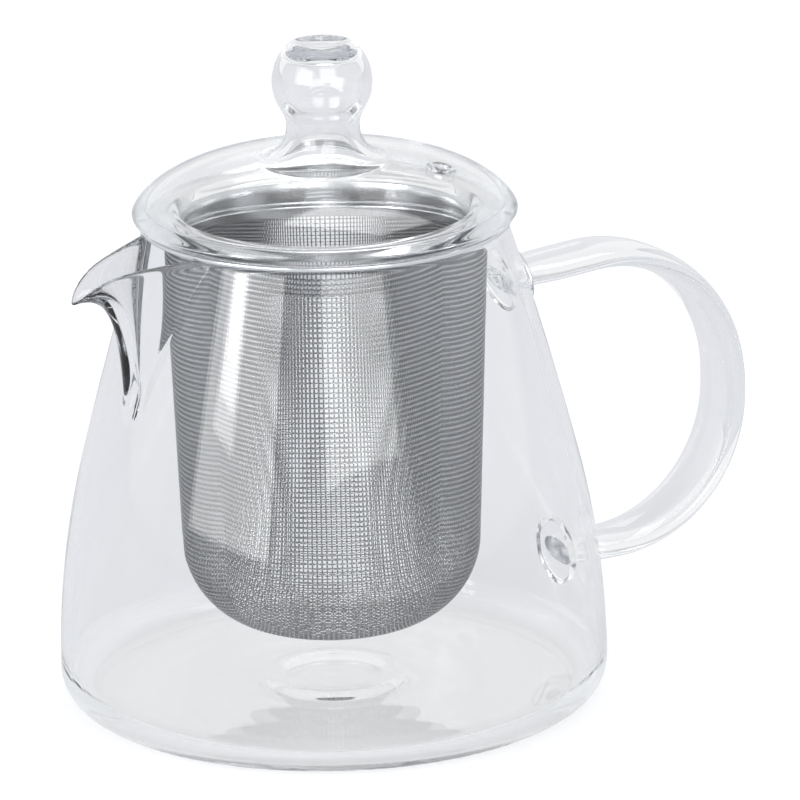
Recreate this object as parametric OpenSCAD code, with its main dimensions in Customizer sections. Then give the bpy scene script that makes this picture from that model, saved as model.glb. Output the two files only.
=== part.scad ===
// Glass teapot with a full-depth strainer.
// A blown pot with a pulled pouring lip and a welded strap handle stands on its base ring.
// A woven steel basket hangs in the mouth by its flange, and a domed glass lid sits on that flange.
// Z = 0 is the table, the Z axis is the axis of the pot, the handle is on +X and the lip on -X.

/* [Pot] */
// Largest outer diameter of the pot, just above its heel
pot_d = 118; // [108:1:140]
// Height of the mouth rim above the table
pot_h = 105; // [96:1:125]
// Outer diameter of the mouth rim
mouth_d = 77.2; // [72:0.2:88]
// Thickness of the blown wall
wall_t = 2; // [1.6:0.1:2.6]
// Thickness of the floor
floor_t = 2.6; // [2:0.1:4]
// Height at which the bowed flank turns into the straighter shoulder
flank_h = 54; // [42:1:62]
// How much flatter the shoulder bows than the flank
shoulder_flatness = 4.3; // [2:0.1:8]
// Radius of the rounded heel round the base
heel_r = 7.5; // [5:0.5:10]
// Width of the flat ring that the pot stands on
foot_w = 5; // [3:0.5:8]
// Rise of the middle of the base above the table
kick_h = 1.2; // [0.4:0.1:2.5]
// Radius of the raised ring left by blowing, on the floor inside
ring_r = 13; // [8:0.5:20]
// Height of that ring
ring_h = 0.6; // [0.2:0.1:1]

/* [Pouring lip] */
// How far the tip of the lip reaches out from the mouth rim
lip_reach = 22.4; // [14:0.2:28]
// Half the width over which the rim is pulled out
lip_half_w = 15; // [12:0.5:18]
// How far the tip droops below the rim
lip_droop = 7.6; // [3:0.2:10]
// Depth below the rim at which the keel runs out into the wall
keel_drop = 43; // [32:1:48]
// Half the width of the keel at its foot
keel_half_w = 3.5; // [3:0.1:5]
// How far the throat under the lip stands out from the mouth rim
throat_out = 11.2; // [8:0.2:14]
// Height of the throat's bend below the rim
throat_drop = 6; // [4:0.5:10]

/* [Handle] */
// Distance from the pot's axis to the middle of the strap at its furthest
handle_reach = 100; // [90:1:115]
// Drop of the strap's upper run below the rim
handle_top_drop = 17.7; // [14:0.1:24]
// Height of the strap's lower run above the table
handle_low_z = 21.1; // [18:0.1:30]
// Bend radius at the top of the strap
handle_top_r = 33.5; // [26:0.5:35]
// Bend radius at the bottom of the strap
handle_low_r = 30.4; // [22:0.5:31]
// Slope of the upper run, down towards the pot
handle_slope = 4; // [0:0.5:8]
// Width of the strap
strap_w = 15.5; // [11:0.5:19]
// Thickness of the strap
strap_t = 5.4; // [4:0.2:7]
// Share of its width that the strap keeps where it meets the wall
strap_pinch = 0.84; // [0.7:0.02:1]
// Radius of the melted pad that joins the strap to the wall
weld_r = 7.6; // [6:0.2:9]
// How far the weld pad stands out from the wall
weld_out = 3; // [2:0.2:5]
// Radius of the rounded edge of the weld pad
weld_edge_r = 1.4; // [0.8:0.1:1.8]

/* [Strainer] */
// Clearance between the basket and the mouth of the pot
basket_gap = 2.3; // [1.5:0.1:4]
// Height of the bottom of the basket above the table
basket_z = 16.5; // [12:0.5:40]
// Narrowing of the basket for each millimetre of depth
basket_taper = 0.035; // [0:0.005:0.06]
// Radius of the rounded bottom edge of the basket
basket_corner_r = 19; // [10:0.5:22]
// Thickness of the woven wire cloth
mesh_t = 0.5; // [0.4:0.1:0.8]
// Thickness of the steel sheet of the flange and collar
steel_t = 0.8; // [0.5:0.1:1]
// How far the flange reaches out over the mouth rim
flange_over = 1.2; // [0.6:0.1:2]
// Radius of the rolled bead round the flange
bead_r = 0.6; // [0.5:0.05:0.8]
// Depth of the collar that grips the wire cloth
collar_h = 7.2; // [6:0.2:10]

/* [Lid] */
// How far the lid reaches out over the flange
lid_over = 1.2; // [0.4:0.1:3]
// Radius of the rolled edge of the lid
lid_edge_r = 1.5; // [1.2:0.1:2]
// Thickness of the lid's glass
lid_t = 2; // [1.6:0.1:2.4]
// Rise of the dome above its rolled edge
dome_rise = 11.6; // [9:0.2:18]
// Fullness of the dome's shoulder
dome_fullness = 3.2; // [2.4:0.1:4]
// Radius of the hollow knob
knob_r = 10.7; // [9.5:0.1:13]
// Radius of the knob's neck
neck_r = 7.8; // [6.5:0.1:8.4]
// Radius of the curve that flares the neck into the dome
neck_flare_r = 7; // [5:0.5:8]
// Thickness of the glass in the knob and neck
knob_t = 1.6; // [1.2:0.1:2]
// Thickness of the glass on top of the knob, from the edge of its dimple
cap_t = 4; // [3:0.1:5]
// Radius of the dimple on the knob
dimple_r = 6.4; // [5:0.1:7]
// Depth of the dimple
dimple_h = 1.2; // [0.6:0.1:1.6]
// Clearance between the skirt under the lid and the collar
skirt_gap = 0.8; // [0.4:0.1:1.5]
// Thickness of the skirt
skirt_t = 1.8; // [1.2:0.1:2.4]
// How far the skirt reaches down past the top of the flange
skirt_drop = 5.2; // [3:0.1:6]
// Diameter of the steam hole
steam_d = 3.4; // [2.4:0.1:4.5]
// Distance of the steam hole from the axis
steam_r = 25.5; // [20:0.5:27]
// Direction of the steam hole, from the handle
steam_angle = -43; // [-180:1:180]
// Width of the thickened edge round the steam hole
steam_edge = 1.3; // [0.8:0.1:1.8]
// Height of that edge above the dome
steam_lift = 0.4; // [0.2:0.1:0.8]

/* [Seats] */
// Gap between a piece and the one it rests on
seat_gap = 0.15; // [0.1:0.05:0.3]

/* [Hidden] */
fine = 96;              // segments of a full turn
pot_r = pot_d / 2;
mouth_r = mouth_d / 2;
eps = 0.01;

// Bow of the flank, so that the wall ends at the mouth
flank_run = flank_h - heel_r;
shoulder_run = pot_h - flank_h;
flank_bow = (flank_run * flank_run / 2 + flank_run * shoulder_run
    + shoulder_run * shoulder_run / (2 * shoulder_flatness)) / (pot_r - mouth_r);
flank_slope = flank_run / flank_bow;
foot_in_r = pot_r - heel_r - foot_w;
keel_z = pot_h - keel_drop;
handle_top_z = pot_h - handle_top_drop;

// Levels of the strainer and lid, each seated on the piece below
flange_z = pot_h + seat_gap;
flange_top = flange_z + steel_t;
flange_r = mouth_r + flange_over;
bead_z = flange_z + steel_t / 2;
basket_r = mouth_r - wall_t - basket_gap;
collar_r = basket_r - mesh_t;
collar_in_r = collar_r - steel_t;
cone_z = flange_z - collar_h;
basket_low_r = basket_r - basket_taper * (cone_z - basket_z - basket_corner_r);
lid_r = flange_r + lid_over;
edge_z = bead_z + bead_r + seat_gap + lid_edge_r;
dome_top = edge_z + dome_rise;
dome_in_r = lid_r - 2 * lid_edge_r;
skirt_r = collar_in_r - skirt_gap;
skirt_low = flange_top - skirt_drop;

// The neck's flare lies on top of the dome, and the knob rests on the neck
flare_x = neck_r + neck_flare_r;
neck_z = dome_z(flare_x, lid_r, dome_rise) + neck_flare_r;
knob_z = neck_z + sqrt(pow(knob_r + neck_flare_r, 2) - flare_x * flare_x);
knob_top = knob_z + sqrt(knob_r * knob_r - dimple_r * dimple_r);
ceiling_z = knob_top - cap_t;

// Points on an arc
function arc(cx, cy, r, from, to, n) =
    [for (i = [0 : n]) let (a = from + (to - from) * i / n) [cx + r * cos(a), cy + r * sin(a)]];

// Outer radius of the pot at height z
function wall_r(z) = z < flank_h
    ? pot_r - pow(max(z - heel_r, 0), 2) / (2 * flank_bow)
    : mouth_r + (pot_h - z) * (flank_slope + (pot_h + z - 2 * flank_h) / (2 * shoulder_flatness * flank_bow));

// Height of the base above the table at radius r
function kick(r) = r < foot_in_r ? kick_h * (1 + cos(180 * r / foot_in_r)) / 2 : 0;

// Height of the blowing ring at radius r
function ripple(r) = let (d = abs(r - ring_r) / 5) d < 1 ? ring_h * (1 + cos(180 * d)) / 2 : 0;

// Height of the lid's surface of radius lim and rise h at radius r
function dome_z(r, lim, h) = edge_z + h * pow(1 - pow(min(r / lim, 1), dome_fullness), 1 / 1.4);

// Cubic curve through a, pulled by b and c, to d
function bezier(a, b, c, d, t) =
    pow(1 - t, 3) * a + 3 * t * pow(1 - t, 2) * b + 3 * t * t * (1 - t) * c + t * t * t * d;

// --- pot -------------------------------------------------------------------

wall_steps = 16;
inner_heel_r = heel_r - 0.5;

module pot_outline() {
    polygon(concat(
        [for (i = [0 : 8]) let (r = foot_in_r * i / 8) [r, kick(r)]],
        arc(pot_r - heel_r, heel_r, heel_r, -90, 0, 8),
        [for (i = [1 : wall_steps]) let (z = heel_r + (pot_h - wall_t / 2 - heel_r) * i / wall_steps) [wall_r(z), z]],
        arc(mouth_r - wall_t / 2, pot_h - wall_t / 2, wall_t / 2, 30, 90, 3),
        [[0, pot_h]]
    ));
}

// The space inside, which runs on past the rim
module pot_hollow() {
    heel_x = pot_r - wall_t - inner_heel_r;
    heel_z = floor_t + inner_heel_r;
    polygon(concat(
        [for (i = [0 : 12]) let (r = 26 * i / 12) [r, floor_t + kick(r) + ripple(r)]],
        [for (i = [1 : 4]) let (r = 26 + (heel_x - 26) * i / 4) [r, floor_t + kick(r)]],
        arc(heel_x, heel_z, inner_heel_r, -80, 0, 7),
        [for (i = [1 : wall_steps])
            let (z = heel_z + (pot_h - wall_t / 2 - heel_z) * i / wall_steps) [wall_r(z) - wall_t, z]],
        arc(mouth_r - wall_t / 2, pot_h - wall_t / 2, wall_t / 2, 150, 105, 2),
        [[mouth_r - wall_t * 0.62, pot_h + 5], [0, pot_h + 5]]
    ));
}

// --- pouring lip -----------------------------------------------------------
// The lip is the wall with a raised-cosine fold that grows from the keel's foot to the rim.
// s runs from 0 at the foot of the keel to 1 at the rim, and u from -1 to 1 across the fold.

lip_rows = 10;
lip_cols = 11;
root_sink = 0.5;        // the fold starts this far inside the wall
hollow_pinch = 1.6;     // the hollow is this much narrower on each side
hollow_lift = 4;        // and its foot lies this much higher
back_x = -mouth_r / 2;  // the solids close inside the pot

throat_x = mouth_r + throat_out;
lip_x = mouth_r + lip_reach;
lip_z = pot_h - lip_droop;

// Path of the fold's ridge, outside and inside, as radius and height
function nose_out(s) = bezier(
    [wall_r(keel_z), keel_z],
    [throat_x, keel_z + keel_drop * 0.42],
    [throat_x, pot_h - throat_drop - 1],
    [lip_x, lip_z - wall_t / 2], s);
function nose_in(s) = bezier(
    [wall_r(keel_z + hollow_lift) - wall_t, keel_z + hollow_lift],
    [throat_x - wall_t, keel_z + keel_drop * 0.42 + wall_t],
    [throat_x - wall_t, pot_h - throat_drop + wall_t],
    [lip_x - wall_t * 0.65, lip_z], s);

// One point of the fold whose ridge is at n, with the wall taken in by inset and the fold pinched
function fold(n, s, u, inset, pinch) =
    let (
        w = keel_half_w + (lip_half_w - keel_half_w) * pow(s, 1.25) - pinch,
        t = w * sign(u) * pow(abs(u), 1.35),
        bump = (1 + cos(180 * t / w)) / 2,
        root_z = keel_z + (pot_h - wall_t / 2 - keel_z) * s,
        z = root_z + (n[1] - root_z) * (0.37 * bump + 0.63 * pow(bump, 1 + 6 * s)),
        wall = wall_r(z) - inset,
        reach = n[0] - wall_r(n[1]) + inset + root_sink
    ) [-(sqrt(wall * wall - t * t) + reach * bump - root_sink), t, z];

function fold_row(n, s, inset, pinch, up) = concat(
    [for (i = [-lip_cols : lip_cols]) fold(n, s, i / lip_cols, inset, pinch) + [0, 0, up]],
    [[back_x, 0, fold(n, s, 1, inset, pinch)[2] + up]]);

// A solid through rows of points that are closed rings, with fans from the last point at both ends
module ring_solid(rows) {
    n = len(rows[0]);
    last = len(rows) - 1;
    polyhedron(
        points = [for (row = rows) each row],
        faces = concat(
            [for (j = [0 : last - 1]) for (i = [0 : n - 1]) let (a = j * n + i, b = j * n + (i + 1) % n)
                each [[a, b, a + n], [b, b + n, a + n]]],
            [for (i = [0 : n - 3]) [n - 1, i + 1, i]],
            [for (i = [0 : n - 3]) [last * n + n - 1, last * n + i, last * n + i + 1]]
        )
    );
}

module lip_outside() {
    ring_solid(concat(
        [for (j = [0 : lip_rows]) fold_row(nose_out(j / lip_rows), j / lip_rows, 0, 0, 0)],
        [fold_row(nose_out(1) - [wall_t * 0.35, 0], 1, wall_t * 0.35, 0.3, wall_t / 2)]
    ));
}

module lip_inside() {
    ring_solid(concat(
        [for (j = [1 : lip_rows]) fold_row(nose_in(j / lip_rows), j / lip_rows, wall_t, hollow_pinch, 0)],
        [fold_row(nose_in(1), 1, wall_t, hollow_pinch, lip_droop + 6)]
    ));
}

// What is taken out of the pot: its inside and the hollow of the lip
module pot_space() {
    rotate_extrude($fn = fine) pot_hollow();
    lip_inside();
}

module pot_body() {
    color([0.86, 0.92, 0.92, 0.35]) {
        difference() {
            rotate_extrude($fn = fine) pot_outline();
            pot_space();
        }
        difference() {
            lip_outside();
            pot_space();
        }
    }
}

// --- handle ----------------------------------------------------------------
// A strap of oval section, swept along a sloped upper run, two bends with a short upright run
// between them, and a level lower run. Both runs end in a pad that is melted onto the wall.

top_bend = [handle_reach - handle_top_r, handle_top_z - handle_top_r];
low_bend = [handle_reach - handle_low_r, handle_low_z + handle_low_r];
top_run = top_bend + handle_top_r * [-sin(handle_slope), cos(handle_slope)];
weld_top_z = top_run[1] - (top_run[0] - wall_r(top_run[1])) * tan(handle_slope);
strap_points = 20;      // points round the strap's section
bend_steps = 20;        // rings in each bend

// Where the upper run is at distance x from the axis
function top_run_at(x) = [x, top_run[1] - (top_run[0] - x) * tan(handle_slope)];

// Stations of the strap: its middle, the direction its outer face looks in, and its share of the width
strap_line = concat(
    [for (step = [[-5, strap_pinch], [weld_out + 2, strap_pinch], [weld_out + 7, 1]])
        [top_run_at(wall_r(weld_top_z) + step[0]), 90 + handle_slope, step[1]]],
    [for (p = arc(0, 0, 1, 90 + handle_slope, 0, bend_steps))
        [top_bend + handle_top_r * p, atan2(p[1], p[0]), 1]],
    [for (p = arc(0, 0, 1, 0, -90, bend_steps))
        [low_bend + handle_low_r * p, atan2(p[1], p[0]), 1]],
    [for (step = [[weld_out + 4, 1], [weld_out + 1, strap_pinch], [-5, strap_pinch]])
        [[wall_r(handle_low_z) + step[0], handle_low_z], -90, step[1]]]
);

function rounded(c) = sign(c) * pow(abs(c), 0.85);
function strap_ring(middle, face, share) =
    [for (i = [0 : strap_points - 1])
        let (a = 360 * i / strap_points, out = strap_t / 2 * rounded(cos(a)))
        [middle[0] + out * cos(face), strap_w / 2 * share * rounded(sin(a)), middle[1] + out * sin(face)]];

// The pad on the wall at height z, square to the wall
module weld_pad(z) {
    lean = atan(wall_r(z - 0.5) - wall_r(z + 0.5));
    translate([wall_r(z), 0, z])
        rotate([0, 90 - lean, 0])
            rotate_extrude($fn = 48)
                polygon(concat(
                    [[0, -wall_t], [weld_r, -wall_t]],
                    arc(weld_r - weld_edge_r, weld_out - weld_edge_r, weld_edge_r, 0, 90, 5),
                    [[0, weld_out]]
                ));
}

module handle() {
    color([0.88, 0.93, 0.93, 0.35])
        difference() {
            union() {
                ring_solid([for (station = strap_line) strap_ring(station[0], station[1], station[2])]);
                weld_pad(weld_top_z);
                weld_pad(handle_low_z);
            }
            rotate_extrude($fn = fine) pot_outline();
        }
}

// --- strainer --------------------------------------------------------------

module strainer_rim() {
    color([0.62, 0.64, 0.66])
        rotate_extrude($fn = fine) {
            translate([collar_in_r, flange_z]) square([flange_r - bead_r - collar_in_r, steel_t]);
            translate([collar_in_r, cone_z]) square([steel_t, collar_h + eps]);
            translate([flange_r - bead_r, bead_z]) circle(r = bead_r, $fn = 24);
        }
}

// Outline of the basket, taken in by a distance
function basket_line(inset) = concat(
    [[0, basket_z + inset]],
    arc(basket_low_r - basket_corner_r, basket_z + basket_corner_r, basket_corner_r - inset, -90, 0, 10),
    [[basket_r - inset, cone_z], [basket_r - inset, flange_z]]);

module strainer_basket() {
    outer = basket_line(0);
    inner = basket_line(mesh_t);
    color([0.55, 0.57, 0.59])
        rotate_extrude($fn = fine)
            polygon(concat(outer, [for (i = [len(inner) - 1 : -1 : 0]) inner[i]]));
}

// --- lid -------------------------------------------------------------------

dome_start = flare_x + 1;               // where the dome's own line takes over from the flare
in_rise = dome_top - lid_t - edge_z;
knob_lean = atan2(knob_z - neck_z, flare_x);

// Line of the dome's surface from the flare to the rim, crowded towards the rim
function dome_line(lim, rise) =
    [for (i = [0 : 14]) let (r = dome_start + (lim - dome_start) * sin(90 * i / 14)) [r, dome_z(r, lim, rise)]];
function reversed(list) = [for (i = [len(list) - 1 : -1 : 0]) list[i]];

dome_under = concat(
    arc(flare_x, neck_z, neck_flare_r + knob_t, 180, 270, 8),
    dome_line(dome_in_r, in_rise));

module dome_section() {
    polygon(concat(
        arc(flare_x, neck_z, neck_flare_r, 180, 270, 8),
        dome_line(lid_r, dome_rise),
        arc(lid_r - lid_edge_r, edge_z, lid_edge_r, -10, -170, 9),
        reversed(dome_under)
    ));
}

// Places something on the middle of the dome's glass at the steam hole, square to the dome
module at_steam_hole() {
    lean = atan(dome_z(steam_r - 0.5, lid_r, dome_rise) - dome_z(steam_r + 0.5, lid_r, dome_rise));
    rotate([0, 0, steam_angle])
        translate([steam_r, 0, dome_z(steam_r, lid_r, dome_rise)])
            rotate([0, lean, 0])
                translate([0, 0, -lid_t / 2]) children();
}

module lid_dome() {
    color([0.88, 0.93, 0.93, 0.35])
        difference() {
            union() {
                rotate_extrude($fn = fine) dome_section();
                at_steam_hole() cylinder(h = lid_t / 2 + steam_lift, d = steam_d + 2 * steam_edge, $fn = 48);
            }
            at_steam_hole() cylinder(h = 3 * lid_t, d = steam_d, center = true, $fn = 32);
        }
}

module lid_knob() {
    inner_r = knob_r - knob_t;
    color([0.88, 0.93, 0.93, 0.35])
        rotate_extrude($fn = fine)
            polygon(concat(
                arc(flare_x, neck_z, neck_flare_r, 180, 180 - knob_lean, 5),
                arc(0, knob_z, knob_r, 2 - knob_lean, acos(dimple_r / knob_r), 14),
                [for (i = [1 : 6]) let (r = dimple_r * (1 - i / 6))
                    [r, knob_top - dimple_h * (1 + cos(180 * r / dimple_r)) / 2]],
                [[0, ceiling_z]],
                arc(0, knob_z, inner_r, asin((ceiling_z - knob_z) / inner_r), 2 - knob_lean, 10),
                arc(flare_x, neck_z, neck_flare_r + knob_t, 180 - knob_lean, 180, 5)
            ));
}

// The ring under the dome that finds the collar, ending on the dome's underside
module lid_skirt() {
    color([0.88, 0.93, 0.93, 0.35])
        rotate_extrude($fn = fine)
            difference() {
                translate([skirt_r - skirt_t, skirt_low]) square([skirt_t, dome_top - skirt_low]);
                polygon(concat(dome_under, [[dome_in_r, dome_top + 1], [0, dome_top + 1], [0, neck_z]]));
            }
}

pot_body();
handle();
strainer_rim();
strainer_basket();
lid_dome();
lid_knob();
lid_skirt();
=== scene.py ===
# Glass teapot with a full-depth woven strainer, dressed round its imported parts.
# Lengths of the pieces and the camera's places are millimetres, and become metres where they
# are used. Lengths of the floor, the lights, glassValues and the bumps are metres.
import math

import bpy
import numpy as np
from mathutils import Matrix, Vector


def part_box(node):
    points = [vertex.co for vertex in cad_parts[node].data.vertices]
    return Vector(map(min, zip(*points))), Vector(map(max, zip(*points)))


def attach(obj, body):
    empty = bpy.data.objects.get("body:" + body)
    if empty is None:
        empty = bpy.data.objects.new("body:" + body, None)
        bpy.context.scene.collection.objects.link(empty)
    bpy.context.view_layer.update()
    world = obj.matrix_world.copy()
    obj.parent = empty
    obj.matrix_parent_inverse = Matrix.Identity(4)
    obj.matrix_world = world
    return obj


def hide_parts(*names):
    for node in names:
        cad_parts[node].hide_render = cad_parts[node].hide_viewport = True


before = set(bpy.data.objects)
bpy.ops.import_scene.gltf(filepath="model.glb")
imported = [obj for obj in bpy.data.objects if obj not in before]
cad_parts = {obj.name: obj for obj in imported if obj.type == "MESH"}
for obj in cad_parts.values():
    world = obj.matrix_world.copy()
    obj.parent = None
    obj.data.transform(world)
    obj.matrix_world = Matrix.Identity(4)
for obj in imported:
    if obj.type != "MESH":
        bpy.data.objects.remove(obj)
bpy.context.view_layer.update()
mm = 0.001


def boxOf(node):
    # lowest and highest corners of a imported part, in millimetres
    low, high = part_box(node)
    return [v / mm for v in low], [v / mm for v in high]


potLow, potHigh = boxOf("pot_body")
rimLow, rimHigh = boxOf("strainer_rim")
basketLow, basketHigh = boxOf("strainer_basket")
domeLow, domeHigh = boxOf("lid_dome")
skirtLow, skirtHigh = boxOf("lid_skirt")
knobHigh = boxOf("lid_knob")[1]
handleHigh = boxOf("handle")[1]


def arc(centreX, centreZ, radius, start, end, steps):
    # points of a circle, from one angle to another in degrees
    angles = np.radians(np.linspace(start, end, steps + 1))
    return [(centreX + radius * math.cos(a), centreZ + radius * math.sin(a)) for a in angles]


def bezier(a, b, c, d, t):
    a, b, c, d = (np.array(p, float) for p in (a, b, c, d))
    t = np.asarray(t, float)[..., None]
    return (1 - t) ** 3 * a + 3 * t * (1 - t) ** 2 * b + 3 * t * t * (1 - t) * c + t ** 3 * d


def meshObject(name, points, faces, smooth=True):
    mesh = bpy.data.meshes.new(name)
    mesh.from_pydata((np.asarray(points, float) * mm).tolist(), [], faces)
    mesh.validate()
    mesh.update()
    piece = bpy.data.objects.new(name, mesh)
    bpy.context.collection.objects.link(piece)
    if smooth:
        mesh.shade_smooth()
    return piece


def gridFaces(rows, cols, wrapRows):
    # quads between rows of points that are closed rings
    faces = []
    for j in range(rows if wrapRows else rows - 1):
        a, b = j * cols, ((j + 1) % rows) * cols
        for i in range(cols):
            k = (i + 1) % cols
            faces.append((a + i, a + k, b + k, b + i))
    return faces


def volumeOf(points, faces):
    # six times the volume that the faces close in, negative when they point inwards
    at = np.asarray(points, float)
    corners = np.array([f[:3] for f in faces] + [(f[0], f[2], f[3]) for f in faces if len(f) == 4])
    a, b, c = at[corners[:, 0]], at[corners[:, 1]], at[corners[:, 2]]
    return float(np.sum(a * np.cross(b, c)))


def ringsToPiece(name, rings, poles=None, closed=False):
    # rings run from the first pole to the last; poles close both ends
    rings = np.asarray(rings, float)
    rows, cols = rings.shape[:2]
    points = rings.reshape(-1, 3).tolist()
    faces = gridFaces(rows, cols, closed)
    if poles:
        first, last = len(points), len(points) + 1
        points += [list(poles[0]), list(poles[1])]
        for i in range(cols):
            k = (i + 1) % cols
            faces.append((first, k, i))
            faces.append((last, (rows - 1) * cols + i, (rows - 1) * cols + k))
    if volumeOf(points, faces) < 0:
        faces = [face[::-1] for face in faces]
    return meshObject(name, points, faces)


def spin(name, outline, steps, closed=False):
    # turns an outline of radius and height about Z; an open outline starts and ends on the axis
    angles = np.linspace(0, 2 * math.pi, steps, endpoint=False)
    body = outline if closed else outline[1:-1]
    rings = [[(r * math.cos(a), r * math.sin(a), z) for a in angles] for r, z in body]
    poles = None if closed else ((0, 0, outline[0][1]), (0, 0, outline[-1][1]))
    return ringsToPiece(name, rings, poles, closed)


def joinSolid(piece, other, operation):
    # joins a second closed solid to a piece, or cuts it out, and drops the second one
    change = piece.modifiers.new("change", "BOOLEAN")
    change.operation, change.solver, change.object = operation, "EXACT", other
    plain = bpy.data.meshes.new_from_object(piece.evaluated_get(bpy.context.evaluated_depsgraph_get()))
    piece.modifiers.clear()
    old = piece.data
    piece.data = plain
    bpy.data.meshes.remove(old)
    bpy.data.objects.remove(other)


def finishEdges(piece, degrees):
    # smooth faces, with a crease where two meet at more than this angle
    piece.data.shade_smooth()
    piece.data.set_sharp_from_angle(angle=math.radians(degrees))


class Value:
    # a socket that takes part in plain arithmetic
    def __init__(self, tree, socket):
        self.tree, self.socket = tree, socket

    def math(self, operation, *others, swap=False):
        sides = [self, *others]
        if swap:
            sides.reverse()
        node = self.tree.nodes.new("ShaderNodeMath")
        node.operation = operation
        for place, side in zip(node.inputs, sides):
            if isinstance(side, Value):
                self.tree.links.new(side.socket, place)
            else:
                place.default_value = side
        return Value(self.tree, node.outputs[0])

    def __add__(self, other):
        return self.math("ADD", other)

    __radd__ = __add__

    def __sub__(self, other):
        return self.math("SUBTRACT", other)

    def __rsub__(self, other):
        return self.math("SUBTRACT", other, swap=True)

    def __mul__(self, other):
        return self.math("MULTIPLY", other)

    __rmul__ = __mul__

    def clamp(self):
        node = self.math("ADD", 0.0)
        node.socket.node.use_clamp = True
        return node


class Finish:
    # one material and the nodes that make it
    def __init__(self, name):
        self.material = bpy.data.materials.new(name)
        self.material.use_nodes = True
        self.tree = self.material.node_tree
        self.tree.nodes.clear()
        self.output = self.tree.nodes.new("ShaderNodeOutputMaterial")

    def node(self, kind, settings=None, **sockets):
        node = self.tree.nodes.new(kind)
        for key, value in (settings or {}).items():
            setattr(node, key, value)
        for key, value in sockets.items():
            place = node.inputs[key.replace("_", " ")]
            if isinstance(value, Value):
                value = value.socket
            if isinstance(value, bpy.types.NodeSocket):
                self.tree.links.new(value, place)
            else:
                place.default_value = value
        return node

    def value(self, node, name=0):
        return Value(self.tree, node.outputs[name])

    def place(self):
        return self.node("ShaderNodeTexCoord").outputs["Object"]

    def axes(self):
        parts = self.node("ShaderNodeSeparateXYZ", Vector=self.place())
        return [self.value(parts, axis) for axis in "XYZ"]

    def noise(self, scale, detail, roughness):
        made = self.node("ShaderNodeTexNoise", Vector=self.place(), Scale=scale, Detail=detail,
                         Roughness=roughness)
        return self.value(made, "Fac" if "Fac" in made.outputs else "Factor")

    def blend(self, factor, low, high):
        mixed = self.node("ShaderNodeMix", {"data_type": "RGBA"}, Factor=factor)
        colours = [socket for socket in mixed.inputs if socket.type == "RGBA"]
        colours[0].default_value, colours[1].default_value = low, high
        return next(socket for socket in mixed.outputs if socket.type == "RGBA")

    def surface(self, socket):
        self.tree.links.new(socket, self.output.inputs["Surface"])

    def volume(self, socket):
        self.tree.links.new(socket, self.output.inputs["Volume"])


cameraValues = {
    "place": (-752.2, -1329.6, 535.8),
    "target": (0.0, 0.0, 60.0),
    "lens": 336.24,
    "sensor": 36.0,
    "lean": 0.0213,         # roll of the picture, as a slope
    "panRight": 0.542,      # degrees
    "panUp": 0.179,
}


def makeCamera(v):
    place, target = Vector(v["place"]), Vector(v["target"])
    ahead = (target - place).normalized()
    right = ahead.cross(Vector((0, 0, 1))).normalized()
    up = right.cross(ahead)
    right, up = (right - v["lean"] * up).normalized(), (up + v["lean"] * right).normalized()
    ahead = (ahead + math.tan(math.radians(v["panRight"])) * right
             + math.tan(math.radians(v["panUp"])) * up).normalized()
    right = (right - right.dot(ahead) * ahead).normalized()
    up = right.cross(ahead)
    data = bpy.data.cameras.new("camera")
    data.lens, data.sensor_width = v["lens"], v["sensor"]
    data.clip_start, data.clip_end = 0.01, 100
    camera = bpy.data.objects.new("camera", data)
    turn = Matrix((right, up, -ahead)).transposed().to_4x4()
    camera.matrix_world = Matrix.Translation(place * mm) @ turn
    bpy.context.collection.objects.link(camera)
    bpy.context.scene.camera = camera
    print("camera set")


makeCamera(cameraValues)

stageValues = {
    "floorRadius": 6.0,
    "floorSteps": 96,
    "floorDrop": 0.00005,           # gap under the pot, so that no two faces share a plane
    "floorColour": (0.235, 0.245, 0.275, 1),
    "floorGlow": 0.80,
    "glowThroughGlass": 0.63,       # share of the glow that glass and metal show, away from the pot
    "paintedGlowUnderPot": 0.84,
    "litPatchEdge": 0.078,             # painted light: glass and metal see the paper brighter under the pot, out to here, which lifts the pot's shadow
    "litPatchFade": 0.034,
    "skyHorizon": (0.93, 0.94, 0.95, 1),
    "skyTop": (0.58, 0.585, 0.59, 1),
    "bandEnds": 0.52,               # how high the pale backdrop reaches, as a share of straight up
    "topStarts": 0.74,
    "aimHeight": 0.06,              # the light boxes look at this point of the axis
    "bounces": 64,                  # light that runs inside the glass meets its faces many times
    "clearBounces": 16,
    # boxes: azimuth from the camera's side, elevation, distance, width, height, strength in watts
    "lightBoxes": {
        "frontBox": (16, 30, 1.5, 1.0, 1.0, 7.0),
        "frontLow": (20, 24, 1.52, 1.0, 1.4, 3.0),
        "leftBroad": (-47, 22, 1.4, 1.0, 0.9, 9.0),
        "leftWide": (-54, 17, 1.32, 0.26, 0.34, 0.9),
        "leftMiddle": (-54, 17, 1.31, 0.18, 0.26, 0.6),
        "leftNarrow": (-54, 17, 1.30, 0.1, 0.18, 0.3),
        "topBox": (150, 70, 1.6, 1.0, 0.7, 6.0),
    },
}


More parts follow.
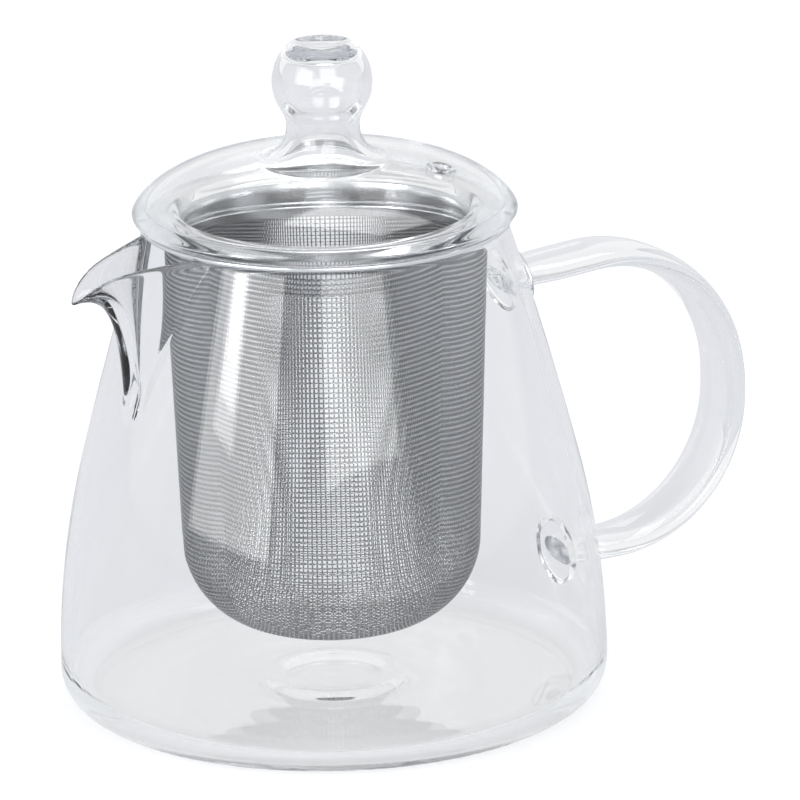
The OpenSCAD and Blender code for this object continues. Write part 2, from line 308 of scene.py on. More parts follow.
def makeFloor(v):
    steps, radius = v["floorSteps"], v["floorRadius"] / mm
    turns = [2 * math.pi * i / steps for i in range(steps)]
    points = [(0, 0, 0)] + [(radius * math.cos(a), radius * math.sin(a), 0) for a in turns]
    faces = [(0, 1 + i, 1 + (i + 1) % steps) for i in range(steps)]
    floor = meshObject("floor", points, faces, smooth=False)
    floor.location.z = -v["floorDrop"]
    paper = Finish("paleFloor")
    plain = paper.node("ShaderNodeBsdfDiffuse", Color=v["floorColour"])
    path = paper.node("ShaderNodeLightPath")
    x, y, _ = paper.axes()
    out = (x * x + y * y).math("SQRT")
    # painted light: a brighter patch of glow under the pot, seen through glass and metal, lifts the pot's
    # shadow there
    under = ((v["litPatchEdge"] - out) * (1 / v["litPatchFade"])).clamp()
    share = v["glowThroughGlass"] + under * (v["paintedGlowUnderPot"] - v["glowThroughGlass"])
    bounced = (paper.value(path, "Is Glossy Ray") + paper.value(path, "Is Transmission Ray")).clamp()
    seen = (paper.value(path, "Is Camera Ray") + bounced * share).clamp()
    glow = paper.node("ShaderNodeEmission", Color=seen, Strength=v["floorGlow"])
    both = paper.node("ShaderNodeAddShader")
    paper.tree.links.new(plain.outputs[0], both.inputs[0])
    paper.tree.links.new(glow.outputs[0], both.inputs[1])
    paper.surface(both.outputs[0])
    floor.data.materials.append(paper.material)


def makeSky(v):
    world = bpy.data.worlds.new("studio")
    bpy.context.scene.world = world
    world.use_nodes = True
    tree = world.node_tree
    tree.nodes.clear()
    place = tree.nodes.new("ShaderNodeTexCoord")
    parts = tree.nodes.new("ShaderNodeSeparateXYZ")
    ramp = tree.nodes.new("ShaderNodeValToRGB")
    low, high = ramp.color_ramp.elements
    low.position, low.color = v["bandEnds"], v["skyHorizon"]
    high.position, high.color = v["topStarts"], v["skyTop"]
    sky, white = tree.nodes.new("ShaderNodeBackground"), tree.nodes.new("ShaderNodeBackground")
    white.inputs["Color"].default_value = (1, 1, 1, 1)
    path, pick = tree.nodes.new("ShaderNodeLightPath"), tree.nodes.new("ShaderNodeMixShader")
    output = tree.nodes.new("ShaderNodeOutputWorld")
    tree.links.new(place.outputs["Generated"], parts.inputs[0])
    tree.links.new(parts.outputs["Z"], ramp.inputs["Fac"])
    tree.links.new(ramp.outputs["Color"], sky.inputs["Color"])
    tree.links.new(path.outputs["Is Camera Ray"], pick.inputs["Fac"])
    tree.links.new(sky.outputs[0], pick.inputs[1])
    tree.links.new(white.outputs[0], pick.inputs[2])
    tree.links.new(pick.outputs[0], output.inputs["Surface"])


def makeLight(name, aimHeight, azimuth, elevation, distance, width, height, watts):
    # azimuth is counted from the camera's side of the pot
    side = math.atan2(cameraValues["place"][1], cameraValues["place"][0]) + math.radians(azimuth)
    rise = math.radians(elevation)
    aim = Vector((0, 0, aimHeight))
    back = Vector((math.cos(side) * math.cos(rise), math.sin(side) * math.cos(rise), math.sin(rise)))
    data = bpy.data.lights.new(name, "AREA")
    data.shape, data.size, data.size_y, data.energy = "RECTANGLE", width, height, watts
    light = bpy.data.objects.new(name, data)
    light.location = aim + back * distance
    light.rotation_euler = (-back).to_track_quat("-Z", "Y").to_euler()
    bpy.context.collection.objects.link(light)


def makeStage(v):
    makeFloor(v)
    makeSky(v)
    for name, values in v["lightBoxes"].items():
        makeLight(name, v["aimHeight"], *values)
    scene = bpy.context.scene
    scene.view_settings.view_transform = "Standard"
    scene.cycles.max_bounces = v["bounces"]
    scene.cycles.transmission_bounces = v["bounces"]
    scene.cycles.glossy_bounces = v["bounces"]
    scene.cycles.transparent_max_bounces = v["clearBounces"]
    print("stage and light set")


makeStage(stageValues)

glassValues = {
    "ior": 1.47,
    "tint": (0.77, 0.79, 0.81, 1),
    "potDepth": 9.0,            # how fast the tint builds up with depth
    "lidDepth": 14.0,
    "wave": 0.00006,            # height of the uneven surface
    "lidWave": 0.6,             # the lid's, as a share of the pot's
    "waveScale": 26.0,
    "wipeScale": 9.0,
    "wipeStarts": 0.62,
    "wipeRoughness": 0.05,
}
steelValues = {
    "plate": (0.76, 0.775, 0.79, 1),
    "plateShade": 0.9,
    "plateRoughness": (0.1, 0.12),      # least, and what the polish marks add
    # painted shade: the dark colour the wire takes away from its crowns, where the wires cross
    "wireShadeColour": (0.15, 0.155, 0.16, 1),
    "wireHigh": (0.78, 0.80, 0.82, 1),
    "wireRoughness": (0.34, 0.2),       # most, and what a crown takes off
    "wireMarks": 0.25,
    "crownAt": 0.236,                   # how far a crown stands out of the middle of the cloth
}


def clearGlass(name, v, wave, density):
    # clear borosilicate: the tint sits in its depth, so thick edges look darker than the wall
    glass = Finish(name)
    ripple = glass.noise(v["waveScale"], 2.0, 0.45)
    bump = glass.node("ShaderNodeBump", Strength=1.0, Distance=wave, Height=ripple)
    wipe = (glass.noise(v["wipeScale"], 3.0, 0.6) - v["wipeStarts"]).clamp()
    skin = glass.node("ShaderNodeBsdfPrincipled", Base_Color=(1, 1, 1, 1), IOR=v["ior"],
                      Transmission_Weight=1.0, Roughness=wipe * v["wipeRoughness"],
                      Normal=bump.outputs[0])
    depth = glass.node("ShaderNodeVolumeAbsorption", Color=v["tint"], Density=density)
    glass.surface(skin.outputs[0])
    glass.volume(depth.outputs[0])
    return glass.material


def brightSteel(name, v):
    # pressed stainless sheet with a faint uneven polish
    steel = Finish(name)
    polish = steel.noise(420.0, 3.0, 0.6)
    cloud = steel.noise(28.0, 2.0, 0.5)
    shade = tuple(v["plateShade"] * c for c in v["plate"][:3]) + (1,)
    tone = steel.blend(cloud, shade, v["plate"])
    bump = steel.node("ShaderNodeBump", Strength=0.25, Distance=0.00001, Height=polish)
    least, marks = v["plateRoughness"]
    skin = steel.node("ShaderNodeBsdfPrincipled", Base_Color=tone, Metallic=1.0,
                      Roughness=least + polish * marks, Normal=bump.outputs[0])
    steel.surface(skin.outputs[0])
    return steel.material


def wovenSteel(name, v, shape):
    # drawn wire: painted shade darkens it away from the crowns that stand out of the cloth, where the wires
    # cross; the crowns keep the steel's bright colour and are smoother
    steel = Finish(name)
    x, y, z = steel.axes()
    radius = (x * x + y * y).math("SQRT")
    bendZ, bendR, corner = shape["bendZ"] * mm, shape["bendR"] * mm, shape["corner"] * mm
    height = z.math("MINIMUM", shape["coneZ"] * mm)
    onCone = radius - (bendR + corner + (height - bendZ) * shape["taper"])
    outwards, below = (radius - bendR).math("MAXIMUM", 0.0), bendZ - z
    onBowl = (outwards * outwards + below * below).math("SQRT") - corner
    upper = z.math("GREATER_THAN", bendZ)
    stand = (upper * onCone + (1 - upper) * onBowl).math("ABSOLUTE")
    crown = (stand * (1 / (v["crownAt"] * mm))).clamp()
    crown = crown * crown
    polish = steel.noise(900.0, 2.0, 0.6)
    # painted shade: the crown mask darkens the colour towards where the wires cross; the noise adds uneven
    # polish marks
    shadeAndMarks = (crown + (polish - 0.5) * v["wireMarks"]).clamp()
    tone = steel.blend(shadeAndMarks, v["wireShadeColour"], v["wireHigh"])
    bump = steel.node("ShaderNodeBump", Strength=0.2, Distance=0.000003, Height=polish)
    most, bright = v["wireRoughness"]
    skin = steel.node("ShaderNodeBsdfPrincipled", Base_Color=tone, Metallic=1.0,
                      Roughness=most - crown * bright, Normal=bump.outputs[0])
    steel.surface(skin.outputs[0])
    return steel.material


potFinish = clearGlass("clearPotGlass", glassValues, glassValues["wave"], glassValues["potDepth"])
lidFinish = clearGlass("clearLidGlass", glassValues, glassValues["wave"] * glassValues["lidWave"],
                       glassValues["lidDepth"])
plateFinish = brightSteel("pressedSteel", steelValues)

potValues = {
    "mouthRadius": 38.6,
    "wall": 2.0,
    "floorThickness": 2.6,
    "flankHeight": 54.0,
    "shoulderFlatness": 4.3,
    "heel": 7.5,
    "foot": 5.0,
    "kick": 1.2,
    "blowRing": 13.0,
    "blowRingHeight": 0.6,
    "swirl": 0.05,
    "swirlPitch": 11.5,
    "lipHalfWidth": 15.0,
    "lipDroop": 7.6,
    "lipMargin": 1.12,      # the close angles reach this much past the lip
    "lipSpread": 1.25,      # above 1, the fold widens late on its way up
    "keelDrop": 35.0,
    "keelHalfWidth": 3.5,
    "throatOut": 11.2,
    "throatDrop": 6.0,
    "lipTuck": 0.4,
    "hollowLift": 6.0,
    "hollowPinch": 1.6,
    "turnSteps": 240,
    "lipSteps": 112,
}

potRadius, rimHeight = potHigh[1], potHigh[2]
lipReach = -potLow[0] - potValues["mouthRadius"]


def wallRadius(z):
    # outer radius of the wall: a bowed flank, then a flatter shoulder
    v = potValues
    flank, shoulder = v["flankHeight"] - v["heel"], rimHeight - v["flankHeight"]
    bow = ((flank ** 2 / 2 + flank * shoulder + shoulder ** 2 / (2 * v["shoulderFlatness"]))
           / (potRadius - v["mouthRadius"]))
    z = np.asarray(z, float)
    low = potRadius - np.maximum(z - v["heel"], 0) ** 2 / (2 * bow)
    high = v["mouthRadius"] + (rimHeight - z) * (
        flank / bow + (rimHeight + z - 2 * v["flankHeight"]) / (2 * v["shoulderFlatness"] * bow))
    return np.where(z < v["flankHeight"], low, high)


def lipNose(s, inside):
    # path of the fold's ridge, as radius and height
    v = potValues
    keelZ, throat = rimHeight - v["keelDrop"], v["mouthRadius"] + v["throatOut"]
    tipR, tipZ, wall = v["mouthRadius"] + lipReach - v["lipTuck"], rimHeight - v["lipDroop"], v["wall"]
    if inside:
        foot = keelZ + v["hollowLift"]
        return bezier((wallRadius(foot) - wall, foot), (throat - wall, keelZ + v["keelDrop"] * 0.42 + wall),
                      (throat - wall, rimHeight - v["throatDrop"] + wall), (tipR - wall * 0.65, tipZ), s)
    return bezier((wallRadius(keelZ), keelZ), (throat, keelZ + v["keelDrop"] * 0.42),
                  (throat, rimHeight - v["throatDrop"] - 1), (tipR, tipZ - wall / 2), s)


def wallRing(s, angles, inside):
    # one ring of the wall above the foot of the keel, with the fold of the lip in it
    v = potValues
    keelZ = rimHeight - v["keelDrop"]
    inset, pinch = (v["wall"], v["hollowPinch"]) if inside else (0.0, 0.0)
    nose = lipNose(np.array(s), inside)
    rootZ = keelZ + (rimHeight - v["wall"] / 2 - keelZ) * s
    width = v["keelHalfWidth"] + (v["lipHalfWidth"] - v["keelHalfWidth"]) * s ** v["lipSpread"]
    width -= pinch * min(1, 4 * s)
    across = (wallRadius(rootZ) - inset) * np.sin(angles - math.pi)
    share = np.clip(np.abs(across) / width, 0, 1)
    share[np.cos(angles) > 0] = 1
    bump = (1 + np.cos(math.pi * share)) / 2
    z = rootZ + (nose[1] - rootZ) * (0.37 * bump + 0.63 * bump ** (1 + 6 * s))
    base = wallRadius(z) - inset
    reach = max(float(nose[0] - wallRadius(nose[1]) + inset), 0.0)
    x = np.where(share < 1, np.cos(angles) * base - reach * bump, np.cos(angles) * base)
    y = np.where(share < 1, -np.sin(angles - math.pi) * base, np.sin(angles) * base)
    return np.stack([x, y, z], -1)


def makePotWall(v):
    # angles crowd together across the lip
    half = math.asin(v["lipHalfWidth"] / v["mouthRadius"]) * v["lipMargin"]
    plain = np.linspace(math.pi + half, 3 * math.pi - half, v["turnSteps"], endpoint=False)
    fine = np.linspace(math.pi - half, math.pi + half, v["lipSteps"], endpoint=False)
    angles = np.concatenate([fine, plain])
    keelZ, footR = rimHeight - v["keelDrop"], potRadius - v["heel"] - v["foot"]

    def kick(r):
        return v["kick"] * (1 + math.cos(math.pi * r / footR)) / 2 if r < footR else 0.0

    def ring(r, z):
        return np.stack([r * np.cos(angles), r * np.sin(angles), np.full(len(angles), z)], -1)

    steps = np.linspace(0, 1, 42)
    outer = [ring(r, kick(r)) for r in np.linspace(2, footR, 14)]
    outer += [ring(r, z) for r, z in arc(potRadius - v["heel"], v["heel"], v["heel"], -90, 0, 16)]
    outer += [ring(float(wallRadius(z)), z) for z in np.linspace(v["heel"], keelZ, 26)[1:-1]]
    outer += [wallRing(s, angles, False) for s in steps]

    innerHeel = v["heel"] - 0.5
    heelX, heelZ = potRadius - v["wall"] - innerHeel, v["floorThickness"] + innerHeel

    def floorAt(r):
        d = abs(r - v["blowRing"]) / 5
        swirl = v["swirl"] * math.sin(2 * math.pi * r / v["swirlPitch"]) * min(1, (heelX - r) / 6)
        blown = v["blowRingHeight"] * (1 + math.cos(math.pi * d)) / 2 if d < 1 else 0
        return v["floorThickness"] + kick(r) + swirl + blown

    inner = [ring(r, floorAt(r)) for r in np.linspace(1, heelX, 44)]
    inner += [ring(r, z) for r, z in arc(heelX, heelZ, innerHeel, -84, 0, 15)]
    inner += [ring(float(wallRadius(z)) - v["wall"], z) for z in np.linspace(heelZ, keelZ, 24)[1:-1]]
    inner += [wallRing(s, angles, True) for s in steps]

    # the fire-polished rim rolls from the outer to the inner edge
    out, into = outer[-1], inner[-1]
    rise = (out - outer[-2]) / np.linalg.norm(out - outer[-2], axis=1)[:, None]
    rise += (into - inner[-2]) / np.linalg.norm(into - inner[-2], axis=1)[:, None]
    rise /= np.linalg.norm(rise, axis=1)[:, None]
    middle, spread = (out + into) / 2, (out - into) / 2
    height = np.linalg.norm(spread, axis=1)[:, None]
    rim = [middle + spread * math.cos(a) + rise * height * math.sin(a)
           for a in np.radians(range(20, 180, 20))]
    return ringsToPiece("potGlass", outer + rim + inner[::-1], ((0, 0, v["kick"]), (0, 0, floorAt(0))))


handleValues = {
    "lowHeight": 21.1,
    "topDrop": 17.7,
    "topBend": 33.5,
    "lowBend": 30.4,
    "slope": 4.0,
    "stripWidth": 15.5,
    "stripThickness": 5.4,
    "squareness": 0.85,
    "pinch": 0.84,
    "padRadius": 7.6,
    "padOut": 3.0,
    "padEdge": 1.4,
    "padDepth": 1.2,
    "padChamfer": 0.4,
    "bendSteps": 34,
    "sectionSteps": 36,
}


def makeHandleStrip(v):
    # oval strip swept from pad to pad
    reach = handleHigh[0] - v["stripThickness"] / 2
    slope = math.radians(v["slope"])
    topZ = rimHeight - v["topDrop"]
    topCentre = (reach - v["topBend"], topZ - v["topBend"])
    lowCentre = (reach - v["lowBend"], v["lowHeight"] + v["lowBend"])
    topRun = (topCentre[0] - v["topBend"] * math.sin(slope), topCentre[1] + v["topBend"] * math.cos(slope))
    topWeldZ = topRun[1] - (topRun[0] - float(wallRadius(topRun[1]))) * math.tan(slope)
    topWeldX, lowWeldX = float(wallRadius(topWeldZ)), float(wallRadius(v["lowHeight"]))

    stations = []
    for x, share in ((topWeldX + 1.2, v["pinch"]), (topWeldX + v["padOut"] + 1, v["pinch"]),
                     (topWeldX + v["padOut"] + 3.5, 0.92), (topWeldX + v["padOut"] + 7, 1.0)):
        stations.append((x, topRun[1] - (topRun[0] - x) * math.tan(slope), math.pi / 2 + slope, share))
    for centre, bend, start, end in ((topCentre, v["topBend"], math.pi / 2 + slope, 0),
                                     (lowCentre, v["lowBend"], 0, -math.pi / 2)):
        stations += [(centre[0] + bend * math.cos(a), centre[1] + bend * math.sin(a), a, 1.0)
                     for a in np.linspace(start, end, v["bendSteps"])]
    for x, share in ((lowWeldX + v["padOut"] + 4, 1.0), (lowWeldX + v["padOut"] + 2, 0.92),
                     (lowWeldX + v["padOut"] + 0.8, v["pinch"]), (lowWeldX + 1.2, v["pinch"])):
        stations.append((x, v["lowHeight"], -math.pi / 2, share))

    turns = np.linspace(0, 2 * math.pi, v["sectionSteps"], endpoint=False)
    outwards = v["stripThickness"] / 2 * np.sign(np.cos(turns)) * np.abs(np.cos(turns)) ** v["squareness"]
    across = v["stripWidth"] / 2 * np.sign(np.sin(turns)) * np.abs(np.sin(turns)) ** v["squareness"]
    rings = [np.stack([x + outwards * math.cos(a), share * across, z + outwards * math.sin(a)], -1)
             for x, z, a, share in stations]
    ends = [(stations[0][0], 0, stations[0][1]), (stations[-1][0], 0, stations[-1][1])]
    strip = ringsToPiece("handleStrip", rings, ends)
    return strip, (topWeldX, topWeldZ), (lowWeldX, v["lowHeight"])


def makePad(v, place):
    # melted pad, square to the wall
    x, z = place
    lean = math.atan(float(wallRadius(z - 0.5) - wallRadius(z + 0.5)))
    radius, edge, back, chamfer = v["padRadius"], v["padEdge"], -v["padDepth"], v["padChamfer"]
    outline = [(0, back), (radius - chamfer, back), (radius, back + chamfer)]
    outline += arc(radius - edge, v["padOut"] - edge, edge, 0, 90, 8)
    outline += [(0, v["padOut"])]
    pad = spin("pad", outline, 72)
    turn = Matrix.Rotation(math.pi / 2 - lean, 4, "Y")
    pad.data.transform(Matrix.Translation(Vector((x, 0, z)) * mm) @ turn)
    return pad


def makePot():
    pot = makePotWall(potValues)
    strip, topWeld, lowWeld = makeHandleStrip(handleValues)
    for place in (topWeld, lowWeld):
        joinSolid(strip, makePad(handleValues, place), "UNION")
    joinSolid(pot, strip, "UNION")
    finishEdges(pot, 48)
    pot.data.materials.clear()
    pot.data.materials.append(potFinish)
    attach(pot, "pot")
    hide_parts("pot_body", "handle")
    print("pot, lip and handle made:", len(pot.data.polygons), "faces")


makePot()

lidValues = {
    "edge": 1.5,
    "glass": 2.0,
    "fullness": 3.2,
    "roundness": 1.4,
    "neck": 7.8,
    "flare": 7.0,
    "cap": 3.4,
    "dimple": 6.4,
    "dimpleDepth": 1.2,
    "crest": 2.5,
    "ceilingCorner": 1.3,
    "skirtThickness": 1.8,
    "skirtCorner": 0.5,
    "fold": 1.8,
    "foldBend": 2.0,
    "foldCrease": 0.6,
    "creaseEnd": 24.0,
    "steamHole": 3.4,
    "steamEdge": 1.7,
    "steamLift": 0.4,
    "steamRadius": 25.5,
    "steamAngle": -43.0,
    "turnSteps": 256,
}


def makeLid(v):
    lidR, knobR = domeHigh[0], knobHigh[0]
    edgeZ = domeLow[2] + v["edge"]
    flareX = v["neck"] + v["flare"]

    # the dome's rise follows from the height at which the neck's flare ends
    share = (1 - (flareX / lidR) ** v["fullness"]) ** (1 / v["roundness"])
    rise = (domeHigh[2] - v["flare"] - edgeZ) / share
    innerR, innerRise = lidR - 2 * v["edge"], rise - v["glass"]
    neckZ = domeHigh[2]
    knobZ = neckZ + math.sqrt((knobR + v["flare"]) ** 2 - flareX ** 2)
    lean = math.degrees(math.atan2(knobZ - neckZ, flareX))
    topZ = knobZ + math.sqrt(knobR ** 2 - v["dimple"] ** 2)

    def domeZ(r, limit, height):
        return edgeZ + height * (1 - min(r / limit, 1) ** v["fullness"]) ** (1 / v["roundness"])

    def softCorner(ball, top, soft):
        # a small circle that touches a ball from inside and a level line:
        # its centre, and the angle where it meets the ball
        z = top - soft
        r = math.sqrt((ball - soft) ** 2 - (z - knobZ) ** 2)
        return r, z, math.degrees(math.atan2(z - knobZ, r))

    skirtOut, skirtIn = skirtHigh[0], skirtHigh[0] - v["skirtThickness"]
    crestR, crestZ, crestMeets = softCorner(knobR, topZ, v["crest"])
    dimple = arc(crestR, crestZ, v["crest"], 112, crestMeets, 14)
    dip, edge = topZ - v["dimpleDepth"], dimple[0]
    outline = [tuple(p) for p in bezier((0, dip), (0.45 * edge[0], dip),
                                        (edge[0] - 1.3, edge[1] - 0.53), edge,
                                        np.linspace(0, 1, 12)[:-1])]
    outline += dimple + arc(0, knobZ, knobR, crestMeets, 1 - lean, 34)[1:]
    outline += arc(flareX, neckZ, v["flare"], 180 - lean, 270, 26)
    start = flareX + 0.6
    outline += [(r, domeZ(r, lidR, rise)) for r in
                start + (lidR - start) * np.sin(np.linspace(0, math.pi / 2, 45))]
    # the rim is folded back in under the dome, with air between, and turns down into the skirt
    outline += arc(lidR - v["edge"], edgeZ, v["edge"], -10, -90, 8)
    corner, underZ = v["skirtCorner"], edgeZ - v["edge"]
    outline += [(skirtOut + 1.0, underZ), (skirtOut + 0.3, underZ - 0.3), (skirtOut, underZ - 1.0)]
    outline += arc(skirtOut - corner, skirtLow[2] + corner, corner, 0, -90, 5)
    outline += arc(skirtIn + corner, skirtLow[2] + corner, corner, -90, -180, 5)
    bend, crease = v["foldBend"], v["foldCrease"]
    foldZ = underZ + v["fold"]
    outline += [(skirtIn, z) for z in np.linspace(skirtLow[2] + 2, foldZ - bend, 4)]
    outline += arc(skirtIn + bend, foldZ - bend, bend, 180, 90, 8)[1:]
    end = math.radians(v["creaseEnd"])
    creaseZ = foldZ + crease * (1 + math.sin(end))
    creaseR = innerR * (1 - ((creaseZ - edgeZ) / innerRise) ** v["roundness"]) ** (1 / v["fullness"])
    creaseX = creaseR - crease * math.cos(end)
    outline += [(r, foldZ) for r in np.linspace(skirtIn + bend + 1, creaseX - 1, 6)]
    outline += arc(creaseX, foldZ + crease, crease, -90, v["creaseEnd"], 7)
    outline += [(r, domeZ(r, innerR, innerRise)) for r in
                flareX + 0.8 + (creaseR - flareX - 0.8) * np.sin(np.linspace(math.pi / 2, 0, 50))[1:]]

    # the hollow follows the outside up the neck and round the ball, to a level ceiling
    inner = knobR - v["glass"]
    cornerR, cornerZ, cornerMeets = softCorner(inner, topZ - v["cap"], v["ceilingCorner"])
    outline += arc(flareX, neckZ, v["flare"] + v["glass"], 268, 180 - lean, 26)
    outline += arc(0, knobZ, inner, 1 - lean, cornerMeets, 30)
    outline += arc(cornerR, cornerZ, v["ceilingCorner"], cornerMeets, 90, 9)[1:]
    outline += [(cornerR * share, topZ - v["cap"]) for share in (0.75, 0.5, 0.25, 0)]
    lid = spin("lidGlass", outline, v["turnSteps"])

    # steam hole with its raised edge, square to the dome
    slope = math.atan(domeZ(v["steamRadius"] - 0.5, lidR, rise) - domeZ(v["steamRadius"] + 0.5, lidR, rise))
    around = Matrix.Rotation(math.radians(v["steamAngle"]), 4, "Z")
    place = Vector((v["steamRadius"], 0, domeZ(v["steamRadius"], lidR, rise))) * mm
    at = around @ Matrix.Translation(place) @ Matrix.Rotation(slope, 4, "Y")
    holeR = v["steamHole"] / 2
    ringR, bead = holeR + v["steamEdge"] / 2, v["steamEdge"] / 2
    disc = spin("steamRing", [(0, -1.0), (ringR + bead * 0.9, -1.0), (ringR + bead, -0.6)]
                + arc(ringR, v["steamLift"] - bead * 0.55, bead, 0, 90, 8)
                + [(0, v["steamLift"] + bead * 0.45)], 64)
    disc.data.transform(at)
    joinSolid(lid, disc, "UNION")
    drill = spin("drill", [(0, -7), (holeR, -7), (holeR, v["steamLift"] - 0.35),
                           (holeR + 0.35, v["steamLift"] + 0.1), (holeR + 1.2, 7), (0, 7)], 64)
    drill.data.transform(at)
    joinSolid(lid, drill, "DIFFERENCE")
    finishEdges(lid, 48)
    lid.data.materials.clear()
    lid.data.materials.append(lidFinish)
    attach(lid, "lid")
    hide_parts("lid_dome", "lid_knob", "lid_skirt")
    print("lid made:", len(lid.data.polygons), "faces")


makeLid(lidValues)

rimValues = {"sheet": 0.8, "bead": 0.6, "corner": 0.35, "cloth": 0.5, "turnSteps": 256}


def makeRim(v):
    # flange with a rolled bead outside and the collar that grips the cloth
    half, sheet, corner = v["bead"], v["sheet"], v["corner"]
    outR, collarIn = rimHigh[0], basketHigh[0] - v["cloth"] - sheet
    top = rimHigh[2] - half + sheet / 2
    under, low = top - sheet, rimLow[2]
    beadR, beadZ = outR - half, rimHigh[2] - half
    outline = arc(beadR, beadZ, half, -138, 138, 20)
    outline += [(beadR - 1.0, top)]
    outline += arc(collarIn + corner, top - corner, corner, 90, 180, 5)
    collarOut, bevel = collarIn + sheet, 0.2
    outline += [(collarIn, low + bevel), (collarIn + bevel, low), (collarOut - bevel, low),
                (collarOut, low + bevel), (collarOut, under), (beadR - 1.0, under)]
    rim = spin("strainerFlange", outline, v["turnSteps"], closed=True)
    finishEdges(rim, 50)
    rim.data.materials.append(plateFinish)
    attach(rim, "strainer")
    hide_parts("strainer_rim")
    print("strainer rim made")


makeRim(rimValues)

clothValues = {
    "pitch": 1.12,          # distance between neighbouring wires down the middle of a side
    "wire": 0.135,          # radius of a wire
    "cloth": 0.5,
    "corner": 19.0,
    "taper": 0.035,
    "collar": 7.2,
    "crowding": 0.6,        # how evenly the wires share the space towards a corner fold
    "foldRise": 2.0,        # how far the level wires rise from the middle of a side to the fold
    "flatRise": 0.414,      # the same on the flat bottom, as a share of the way out
    "riseFade": 0.09,       # how fast that shrinks up the side
    "turn": 60.5,           # direction that the middle of a side faces
    "sectionSteps": 4,
}


def clothLine(v):
    # middle line of the cloth from the axis to the flange, at even steps
    outR, lowZ, topZ = basketHigh[0], basketLow[2], basketHigh[2]
    coneZ = topZ - v["collar"]
    lowR = outR - v["taper"] * (coneZ - lowZ - v["corner"])
    inset = v["cloth"] / 2
    line = [(0.0, lowZ + inset)]
    line += arc(lowR - v["corner"], lowZ + v["corner"], v["corner"] - inset, -90, 0, 40)
    line += [(outR - inset, coneZ), (outR - inset, topZ)]
    line = np.array(line)
    along = np.concatenate([[0], np.cumsum(np.linalg.norm(np.diff(line, axis=0), axis=1))])
    at = np.linspace(0, along[-1], 1200)
    radius, height = np.interp(at, along, line[:, 0]), np.interp(at, along, line[:, 1])
    slopeR, slopeZ = np.gradient(radius, at), np.gradient(height, at)
    return at, radius, height, slopeZ, -slopeR, lowR - v["corner"]


def clothPoints(v, warp, weft):
    # place and outward direction of the crossing of a warp wire and a weft wire
    at, radius, _, _, _, flat = clothLine(v)
    most, least = np.maximum(abs(warp), abs(weft)), np.minimum(abs(warp), abs(weft))
    most = np.maximum(most, 1e-6)
    share = least / most
    straight = most * v["pitch"]
    local = np.interp(straight, at, radius)
    spread = np.maximum(straight / (np.maximum(local, 1e-6) * math.pi / 4), 4 / math.pi)
    crowd = v["crowding"]
    power = (spread - crowd) / (1 - crowd)
    turned = math.pi / 4 * (crowd * share + (1 - crowd) * (1 - (1 - share) ** power))
    faded = v["flatRise"] * flat - (straight - flat) * v["riseFade"]
    rise = np.where(straight < flat, v["flatRise"] * straight, np.maximum(faded, v["foldRise"]))
    along = straight + rise * (turned / (math.pi / 4)) ** 2
    weftSide = abs(weft) >= abs(warp)
    azimuth = np.where(weftSide, math.pi / 2 - np.sign(warp) * turned, np.sign(weft) * turned)
    azimuth = np.where(weftSide & (weft < 0), -azimuth, azimuth)
    azimuth = np.where(~weftSide & (warp < 0), math.pi - azimuth, azimuth)
    return along, azimuth


def wirePaths(v, family, numbers):
    # points and edges of the wires whose numbers are given
    at, radius, height, normalR, normalZ, _ = clothLine(v)
    last, count = at[-1], int(at[-1] / v["pitch"]) + 2
    turn = math.radians(v["turn"])
    steps = np.arange(-count, count + 1)
    points, edges = [], []
    for number in numbers:
        fixed = np.full(len(steps), number)
        along, azimuth = clothPoints(v, fixed, steps) if family == "warp" else clothPoints(v, steps, fixed)
        inside = np.nonzero(along <= last)[0]
        if len(inside) < 3:
            continue
        first, end = inside[0], inside[-1]
        side = np.where((steps + number) % 2 == 0, 1.0, -1.0) * (1 if family == "warp" else -1)
        along, azimuth, side = along[first:end + 1], azimuth[first:end + 1], side[first:end + 1]
        azimuth = azimuth + turn
        offset = side * v["wire"]
        r = np.interp(along, at, radius) + offset * np.interp(along, at, normalR)
        z = np.interp(along, at, height) + offset * np.interp(along, at, normalZ)
        start = sum(len(p) for p in points)
        points.append(np.stack([r * np.cos(azimuth), r * np.sin(azimuth), z], -1))
        edges += [(start + i, start + i + 1) for i in range(len(along) - 1)]
    return np.concatenate(points), edges


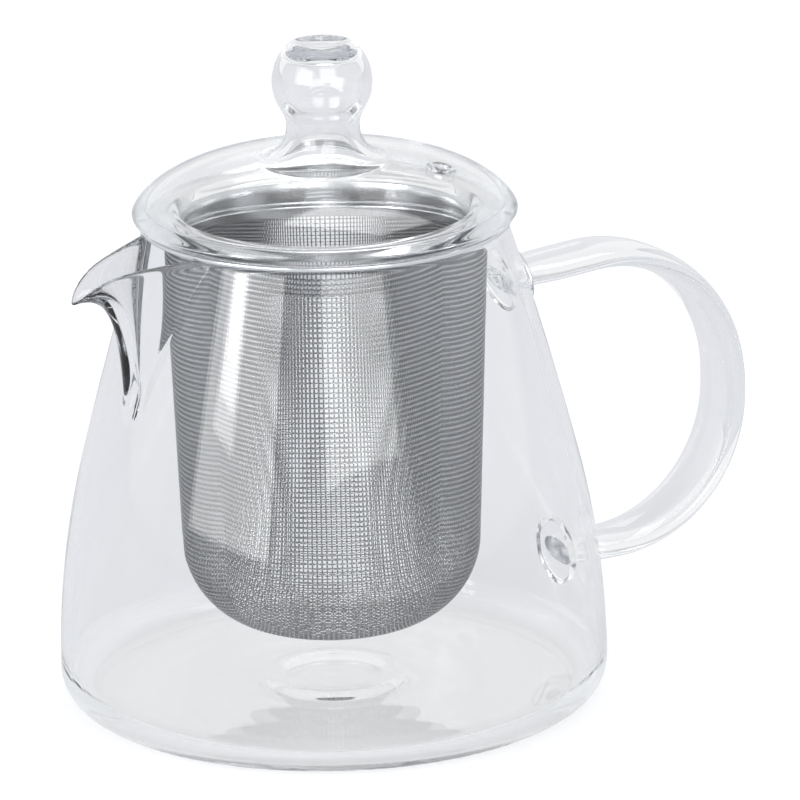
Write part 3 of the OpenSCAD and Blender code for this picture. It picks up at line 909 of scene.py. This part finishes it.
def wireTree(v, finish):
    # sweeps a round wire along every path
    tree = bpy.data.node_groups.new("wovenWires", "GeometryNodeTree")
    tree.interface.new_socket("Geometry", in_out="INPUT", socket_type="NodeSocketGeometry")
    sizes = {}
    for name, kind, value in (("Wire radius", "NodeSocketFloat", v["wire"] * mm),
                              ("Section steps", "NodeSocketInt", v["sectionSteps"])):
        socket = tree.interface.new_socket(name, in_out="INPUT", socket_type=kind)
        sizes[socket.identifier] = value
    tree.interface.new_socket("Geometry", in_out="OUTPUT", socket_type="NodeSocketGeometry")
    given, result = tree.nodes.new("NodeGroupInput"), tree.nodes.new("NodeGroupOutput")
    curve = tree.nodes.new("GeometryNodeMeshToCurve")
    section = tree.nodes.new("GeometryNodeCurvePrimitiveCircle")
    sweep, real = tree.nodes.new("GeometryNodeCurveToMesh"), tree.nodes.new("GeometryNodeRealizeInstances")
    smooth, paint = tree.nodes.new("GeometryNodeSetShadeSmooth"), tree.nodes.new("GeometryNodeSetMaterial")
    paint.inputs["Material"].default_value = finish
    sweep.inputs["Fill Caps"].default_value = True
    link = tree.links.new
    link(given.outputs["Geometry"], curve.inputs["Mesh"])
    link(given.outputs["Wire radius"], section.inputs["Radius"])
    link(given.outputs["Section steps"], section.inputs["Resolution"])
    link(curve.outputs["Curve"], sweep.inputs["Curve"])
    link(section.outputs["Curve"], sweep.inputs["Profile Curve"])
    link(sweep.outputs["Mesh"], smooth.inputs["Geometry"])
    link(smooth.outputs["Geometry"], real.inputs["Geometry"])
    link(real.outputs["Geometry"], paint.inputs["Geometry"])
    link(paint.outputs["Geometry"], result.inputs["Geometry"])
    return tree, sizes


def makeCloth(v):
    inset, coneZ = v["cloth"] / 2, basketHigh[2] - v["collar"]
    bendZ = basketLow[2] + v["corner"]
    shape = {"bendZ": bendZ, "bendR": basketHigh[0] - v["taper"] * (coneZ - bendZ) - v["corner"],
             "corner": v["corner"] - inset, "coneZ": coneZ, "taper": v["taper"]}
    tree, sizes = wireTree(v, wovenSteel("wovenSteelWire", steelValues, shape))
    count = int(clothLine(v)[0][-1] / v["pitch"]) + 1
    thirds = np.array_split(np.arange(-count, count + 1), 3)
    for family in ("warp", "weft"):
        for part, numbers in zip(("Low", "Middle", "High"), thirds):
            points, edges = wirePaths(v, family, numbers)
            mesh = bpy.data.meshes.new("paths")
            mesh.from_pydata((points * mm).tolist(), edges, [])
            wires = bpy.data.objects.new(family + "Wires" + part, mesh)
            bpy.context.collection.objects.link(wires)
            weave = wires.modifiers.new("weave", "NODES")
            weave.node_group = tree
            for identifier, value in sizes.items():
                weave[identifier] = value
            graph = bpy.context.evaluated_depsgraph_get()
            plain = bpy.data.meshes.new_from_object(wires.evaluated_get(graph))
            wires.modifiers.clear()
            wires.data = plain
            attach(wires, "strainer")
            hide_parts("strainer_basket")
            print(wires.name, "made:", len(plain.polygons), "faces")


makeCloth(clothValues)
